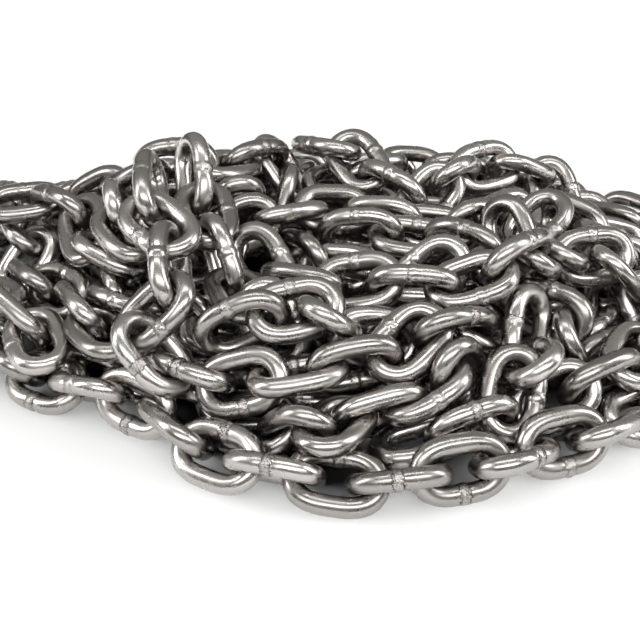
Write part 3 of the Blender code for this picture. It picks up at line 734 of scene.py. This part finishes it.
def tumbled_stainless(finish):
    """Stainless steel wire, drawn, bent, flash-welded and tumbled bright. Its reflections
    keep their shape but have soft edges, faint lines run along the wire from the drawing
    die, and the weld is a narrow ring of small lumps. Painted shade darkens the cracks along
    its edges and a few in it."""
    material = bpy.data.materials.new("tumbled_stainless_steel")
    material.use_nodes = True
    tree = material.node_tree
    shader = tree.nodes["Principled BSDF"]
    shader.inputs["Metallic"].default_value = 1.0

    place = add_node(tree, "ShaderNodeTexCoord").outputs["Object"]
    wire = add_node(tree, "ShaderNodeAttribute", {"attribute_name": "wire"}).outputs["Vector"]
    weld = add_node(tree, "ShaderNodeAttribute", {"attribute_name": "weld"}).outputs["Fac"]
    tone = add_node(tree, "ShaderNodeAttribute", {"attribute_name": "tone"}).outputs["Fac"]
    shown = add_node(tree, "ShaderNodeAttribute", {"attribute_name": "shown"}).outputs["Fac"]

    smudge = add_node(tree, "ShaderNodeTexNoise", None, {
        "Vector": place, "Scale": 1 / SMUDGE, "Detail": 3.0, "Roughness": 0.6}).outputs["Fac"]
    grain = add_node(tree, "ShaderNodeTexNoise", None, {
        "Vector": place, "Scale": 1 / GRAIN, "Detail": 2.0}).outputs["Fac"]
    dents = add_node(tree, "ShaderNodeTexNoise", None, {
        "Vector": place, "Scale": 1 / DENT, "Detail": 2.0}).outputs["Fac"]
    lumps = add_node(tree, "ShaderNodeTexNoise", None, {
        "Vector": place, "Scale": 1 / LUMP, "Detail": 3.0, "Roughness": 0.7}).outputs["Fac"]

    on_bead, painted_crack_shade = weld_marks(tree, lumps, weld, shown)
    bright = add_node(tree, "ShaderNodeMix", {"data_type": "RGBA"}, {
        SHARE: tone, FROM: (*finish.steel_dark, 1),
        TO: (*finish.steel_light, 1)}).outputs[MIXED]
    beaded = add_node(tree, "ShaderNodeMix", {"data_type": "RGBA"}, {
        SHARE: on_bead, FROM: bright, TO: (*finish.weld_colour, 1)}).outputs[MIXED]
    # Painted shade: the cracks at the bead's edge and the veins in it get the dark crack colour,
    # which stands in for the shade inside them.
    coloured = add_node(tree, "ShaderNodeMix", {"data_type": "RGBA"}, {
        SHARE: painted_crack_shade, FROM: beaded, TO: (*finish.crack_shade_colour, 1)}).outputs[MIXED]
    tree.links.new(coloured, shader.inputs["Base Color"])

    cloudy = add_node(tree, "ShaderNodeMapRange", None, {
        "Value": smudge, "From Min": NOISE_LOW, "From Max": NOISE_HIGH,
        "To Min": finish.roughness - ROUGHNESS_SPREAD,
        "To Max": finish.roughness + ROUGHNESS_SPREAD}).outputs["Result"]
    grainy = add_node(tree, "ShaderNodeMath", {"operation": "MULTIPLY_ADD"}, {
        0: grain, 1: GRAIN_SPREAD, 2: cloudy}).outputs[0]
    tree.links.new(grainy, shader.inputs["Roughness"])

    bead = add_node(tree, "ShaderNodeMath", {"operation": "MULTIPLY"}, {
        0: lumps, 1: on_bead}).outputs[0]
    heights = [(drawn_lines(tree, wire, width, length), depth)
               for width, length, depth in DRAW_LINES]
    heights += [(dents, DENT_DEPTH), (grain, GRAIN_DEPTH), (bead, LUMP_DEPTH)]
    tree.links.new(bumped(tree, heights), shader.inputs["Normal"])
    return material


def weld_marks(tree, lumps, weld, shown):
    """How much of each place is the weld's bead, and how much is a crack darkened with painted
    shade.
    """
    ragged = add_node(tree, "ShaderNodeMath", {"operation": "MULTIPLY_ADD"}, {
        0: lumps, 1: WELD_RAG, 2: weld}).outputs[0]
    on_bead = add_node(tree, "ShaderNodeMapRange", {"interpolation_type": "SMOOTHSTEP"}, {
        "Value": ragged, "From Min": WELD_EDGE + CRACK, "From Max": WELD_EDGE - CRACK,
        "To Min": 0.0, "To Max": shown}).outputs["Result"]
    off_edge = add_node(tree, "ShaderNodeMath", {"operation": "COMPARE"}, {
        0: ragged, 1: WELD_EDGE, 2: CRACK}).outputs[0]
    vein = add_node(tree, "ShaderNodeMath", {"operation": "COMPARE"}, {
        0: lumps, 1: NOISE_MIDDLE, 2: VEIN}).outputs[0]
    on_vein = add_node(tree, "ShaderNodeMath", {"operation": "MULTIPLY"}, {
        0: vein, 1: on_bead}).outputs[0]
    # Where the crack shade is painted: the bead's ragged edge and its veins.
    shade_lines = add_node(tree, "ShaderNodeMath", {"operation": "MAXIMUM"}, {
        0: off_edge, 1: on_vein}).outputs[0]
    depth_of_shade = add_node(tree, "ShaderNodeMath", {"operation": "MULTIPLY"}, {
        0: shown, 1: CRACK_STRENGTH}).outputs[0]
    painted_crack_shade = add_node(tree, "ShaderNodeMath", {"operation": "MULTIPLY"}, {
        0: shade_lines, 1: depth_of_shade}).outputs[0]
    return on_bead, painted_crack_shade


def bumped(tree, heights):
    """The normal under patterns laid over each other, each with its depth."""
    normal = None
    for pattern, depth in heights:
        bump = add_node(tree, "ShaderNodeBump", None, {
            "Strength": 1.0, "Distance": depth * MM, "Height": pattern})
        if normal:
            tree.links.new(normal, bump.inputs["Normal"])
        normal = bump.outputs["Normal"]
    return normal


def drawn_lines(tree, wire, width, length):
    """Lines along the wire, from the drawing die and from bending."""
    stretched = add_node(tree, "ShaderNodeMapping", None, {
        "Vector": wire, "Scale": (1 / width, 1 / width, 1 / length)}).outputs["Vector"]
    return add_node(tree, "ShaderNodeTexNoise", None, {
        "Vector": stretched, "Scale": 1.0, "Detail": 1.0}).outputs["Fac"]


def pale_floor(studio):
    """Matt white laminate board, pressed and sealed. It is even and bright, with only a
    faint grain."""
    material = bpy.data.materials.new("matt_white_laminate")
    material.use_nodes = True
    tree = material.node_tree
    shader = tree.nodes["Principled BSDF"]
    shader.inputs["Roughness"].default_value = FLOOR_ROUGHNESS
    shader.inputs["Specular IOR Level"].default_value = FLOOR_SPECULAR
    place = add_node(tree, "ShaderNodeTexCoord").outputs["Object"]
    grain = add_node(tree, "ShaderNodeTexNoise", None, {
        "Vector": place, "Scale": 1 / FLOOR_GRAIN, "Detail": 2.0}).outputs["Fac"]
    darker = [c * FLOOR_EVENNESS for c in studio.floor_colour]
    shade = add_node(tree, "ShaderNodeMix", {"data_type": "RGBA"}, {
        SHARE: grain, FROM: (*studio.floor_colour, 1), TO: (*darker, 1)}).outputs[MIXED]
    tree.links.new(shade, shader.inputs["Base Color"])
    return material


def add_floor(studio):
    """The floor, a flat disc that ends inside the ring of lights."""
    shape = bmesh.new()
    bmesh.ops.create_circle(shape, cap_ends=True, segments=FLOOR_SIDES, radius=FLOOR_RADIUS)
    mesh = bpy.data.meshes.new("studio_floor")
    shape.to_mesh(mesh)
    shape.free()
    mesh.materials.append(pale_floor(studio))
    floor = bpy.data.objects.new("studio_floor", mesh)
    bpy.context.scene.collection.objects.link(floor)


def aimed(place, target):
    """The turn that looks from place to target."""
    return (Vector(target) - Vector(place)).to_track_quat("-Z", "Y").to_euler()


def add_light(name, place, width, height, watts, target, on_floor):
    """A softbox, an even rectangle of light. One kind lights the floor, and another is
    flagged off it and gives the steel its reflections."""
    light = bpy.data.lights.new(name, "AREA")
    light.shape = "RECTANGLE"
    light.size = width
    light.size_y = height
    light.energy = watts
    lamp = bpy.data.objects.new(name, light)
    lamp.location = place
    lamp.rotation_euler = aimed(place, target)
    lamp.visible_camera = False
    lamp.visible_diffuse = on_floor
    lamp.visible_glossy = not on_floor
    bpy.context.scene.collection.objects.link(lamp)


def add_surround(studio):
    """A plain grey room round the studio, darker towards the horizon, which the steel
    reflects. Behind the object stands white paper, as even as the floor."""
    world = bpy.data.worlds.new("grey_studio")
    world.use_nodes = True
    tree = world.node_tree
    way = add_node(tree, "ShaderNodeTexCoord").outputs["Generated"]
    height = add_node(tree, "ShaderNodeSeparateXYZ", None, {"Vector": way}).outputs["Z"]
    wall = add_node(tree, "ShaderNodeMapRange", {"interpolation_type": "SMOOTHSTEP"}, {
        "Value": height, "From Min": WALLS_UNTIL, "From Max": CEILING_FROM,
        "To Min": studio.wall_level, "To Max": studio.ceiling_level}).outputs["Result"]
    seen = add_node(tree, "ShaderNodeLightPath").outputs["Is Camera Ray"]
    level = add_node(tree, "ShaderNodeMath", {"operation": "MULTIPLY_ADD"}, {
        0: seen, 1: PAPER_LEVEL, 2: wall}).outputs[0]
    tree.links.new(level, tree.nodes["Background"].inputs["Strength"])
    tree.nodes["Background"].inputs["Color"].default_value = (*studio.room_colour, 1)
    world.cycles_visibility.diffuse = False
    bpy.context.scene.world = world


def from_layout(place):
    """A place of the layout, in metres from the heap's middle."""
    return [(a - b) * MM for a, b in zip(place, MIDDLE)]


def add_camera():
    """The camera, at the photograph's height and distance."""
    lens = bpy.data.cameras.new("camera")
    lens.angle = 2 * math.atan(IMAGE_WIDTH / 2 / CAMERA_FOCUS)
    lens.clip_start = NEAREST_SEEN
    camera = bpy.data.objects.new("camera", lens)
    place = from_layout(CAMERA_PLACE)
    camera.location = place
    camera.rotation_euler = aimed(place, from_layout(CAMERA_TARGET))
    bpy.context.scene.collection.objects.link(camera)
    bpy.context.scene.camera = camera


class ChainHeapLinks(bpy.types.PropertyGroup):
    """Sizes of the details of each link."""
    weld_ridge: FloatProperty(
        name="Weld Ridge", description="How much the weld swells the wire, as a share",
        default=0.08, min=0.0, max=0.3, subtype="FACTOR")
    weld_groove: FloatProperty(
        name="Weld Groove", description="How much the wire is pinched beside the weld, as a share",
        default=0.04, min=0.0, max=0.3, subtype="FACTOR")


class ChainHeapFinish(bpy.types.PropertyGroup):
    """Colours and gloss of the steel."""
    steel_light: FloatVectorProperty(
        name="Brightest Steel", description="Colour of the brightest links", size=3,
        default=linear("#c5c1be"), min=0.0, max=1.0, subtype="COLOR")
    steel_dark: FloatVectorProperty(
        name="Dullest Steel", description="Colour of the dullest links", size=3,
        default=linear("#a5a19e"), min=0.0, max=1.0, subtype="COLOR")
    weld_colour: FloatVectorProperty(
        name="Weld Bead", description="Colour of the weld's bead", size=3,
        default=linear("#bdb9b6"), min=0.0, max=1.0, subtype="COLOR")
    # Painted shade: this dark colour stands in for the shade inside the weld's edge cracks and
    # veins.
    crack_shade_colour: FloatVectorProperty(
        name="Weld Edge", description="Colour of the dirt in the weld's edges", size=3,
        default=linear("#3a3431"), min=0.0, max=1.0, subtype="COLOR")
    roughness: FloatProperty(
        name="Roughness", description="Roughness of the tumbled wire", default=0.25,
        min=0.0, max=1.0, subtype="FACTOR")


class ChainHeapStudio(bpy.types.PropertyGroup):
    """The floor, the room and the lights."""
    floor_colour: FloatVectorProperty(
        name="Floor", description="Colour of the floor", size=3,
        default=linear("#f2f2f1"), min=0.0, max=1.0, subtype="COLOR")
    room_colour: FloatVectorProperty(
        name="Room", description="Colour of the walls and ceiling", size=3,
        default=linear("#fbfaf6"), min=0.0, max=1.0, subtype="COLOR")
    wall_level: FloatProperty(
        name="Wall Light", description="Brightness of the room near the horizon",
        default=0.13, min=0.0, max=2.0)
    ceiling_level: FloatProperty(
        name="Ceiling Light", description="Brightness of the room overhead",
        default=0.34, min=0.0, max=2.0)
    lamps: FloatProperty(
        name="Softboxes", description="Power of the softboxes, as a multiple",
        default=1.0, min=0.0, max=10.0)


class AddOuterLinks(bpy.types.Operator):
    """Add the links that can be seen, one piece for each run of a strand"""
    bl_idname = "chain_heap.outer_links"
    bl_label = "Add Outer Links"

    def execute(self, context):
        chance = np.random.default_rng(OUTER_SEED)
        cage = link_cage(context.scene.chain_heap_links)
        material = tumbled_stainless(context.scene.chain_heap_finish)
        for name in dict.fromkeys(STRAND_NAMES[:OUTER_COUNT]):
            first = STRAND_NAMES.index(name)
            length = STRAND_NAMES.count(name)
            pieces = math.ceil(length / LONGEST_RUN)
            cuts = [first + round(k * length / pieces) for k in range(pieces + 1)]
            for k, (start, end) in enumerate(zip(cuts, cuts[1:])):
                link_piece(f"{name}_links_{k + 1}", range(start, end), cage, OUTER_LEVELS,
                           [f"{name}_run_{k + 1}"], material, chance)
        bpy.data.meshes.remove(cage)
        return {"FINISHED"}


class AddHiddenLinks(bpy.types.Operator):
    """Add the links inside the heap, one piece for each ring of chain"""
    bl_idname = "chain_heap.hidden_links"
    bl_label = "Add Hidden Links"

    def execute(self, context):
        chance = np.random.default_rng(HIDDEN_SEED)
        cage = link_cage(context.scene.chain_heap_links)
        material = bpy.data.materials["tumbled_stainless_steel"]
        for name in dict.fromkeys(STRAND_NAMES[OUTER_COUNT:]):
            first = STRAND_NAMES.index(name)
            indices = range(first, first + STRAND_NAMES.count(name))
            link_piece(f"{name}_links", indices, cage, HIDDEN_LEVELS, ["core"],
                       material, chance)
        bpy.data.meshes.remove(cage)
        return {"FINISHED"}


class AddStudio(bpy.types.Operator):
    """Add the floor, the room, the softboxes and the camera"""
    bl_idname = "chain_heap.studio"
    bl_label = "Add Studio"

    def execute(self, context):
        studio = context.scene.chain_heap_studio
        target = from_layout(CAMERA_TARGET)
        add_floor(studio)
        add_surround(studio)
        for name, place, width, height, watts, on_floor in SOFTBOXES:
            add_light(name, place, width, height, watts * studio.lamps, target, on_floor)
        add_camera()
        # White paper comes out white and deep gaps black, and no light that the steel throws
        # down brightens the floor in the links' holes.
        context.scene.view_settings.view_transform = "Standard"
        context.scene.view_settings.look = "Medium High Contrast"
        context.scene.cycles.caustics_reflective = False
        return {"FINISHED"}


class ChainHeapPanel(bpy.types.Panel):
    """The heap's sizes, colours and builders"""
    bl_idname = "VIEW3D_PT_chain_heap"
    bl_label = "Chain Heap"
    bl_space_type = "VIEW_3D"
    bl_region_type = "UI"
    bl_category = "Chain Heap"

    def draw(self, context):
        for group in (context.scene.chain_heap_links, context.scene.chain_heap_finish,
                      context.scene.chain_heap_studio):
            for name in group.__annotations__:
                self.layout.prop(group, name)
        for operator in (AddOuterLinks, AddHiddenLinks, AddStudio):
            self.layout.operator(operator.bl_idname)


CLASSES = (ChainHeapLinks, ChainHeapFinish, ChainHeapStudio, AddOuterLinks, AddHiddenLinks,
           AddStudio, ChainHeapPanel)


def register():
    for item in CLASSES:
        bpy.utils.register_class(item)
    bpy.types.Scene.chain_heap_links = PointerProperty(type=ChainHeapLinks)
    bpy.types.Scene.chain_heap_finish = PointerProperty(type=ChainHeapFinish)
    bpy.types.Scene.chain_heap_studio = PointerProperty(type=ChainHeapStudio)


def unregister():
    del bpy.types.Scene.chain_heap_links
    del bpy.types.Scene.chain_heap_finish
    del bpy.types.Scene.chain_heap_studio
    for item in reversed(CLASSES):
        bpy.utils.unregister_class(item)


def main():
    register()
    bpy.ops.chain_heap.outer_links()
    bpy.ops.chain_heap.hidden_links()
    bpy.ops.chain_heap.studio()


if __name__ == "__main__":
    main()
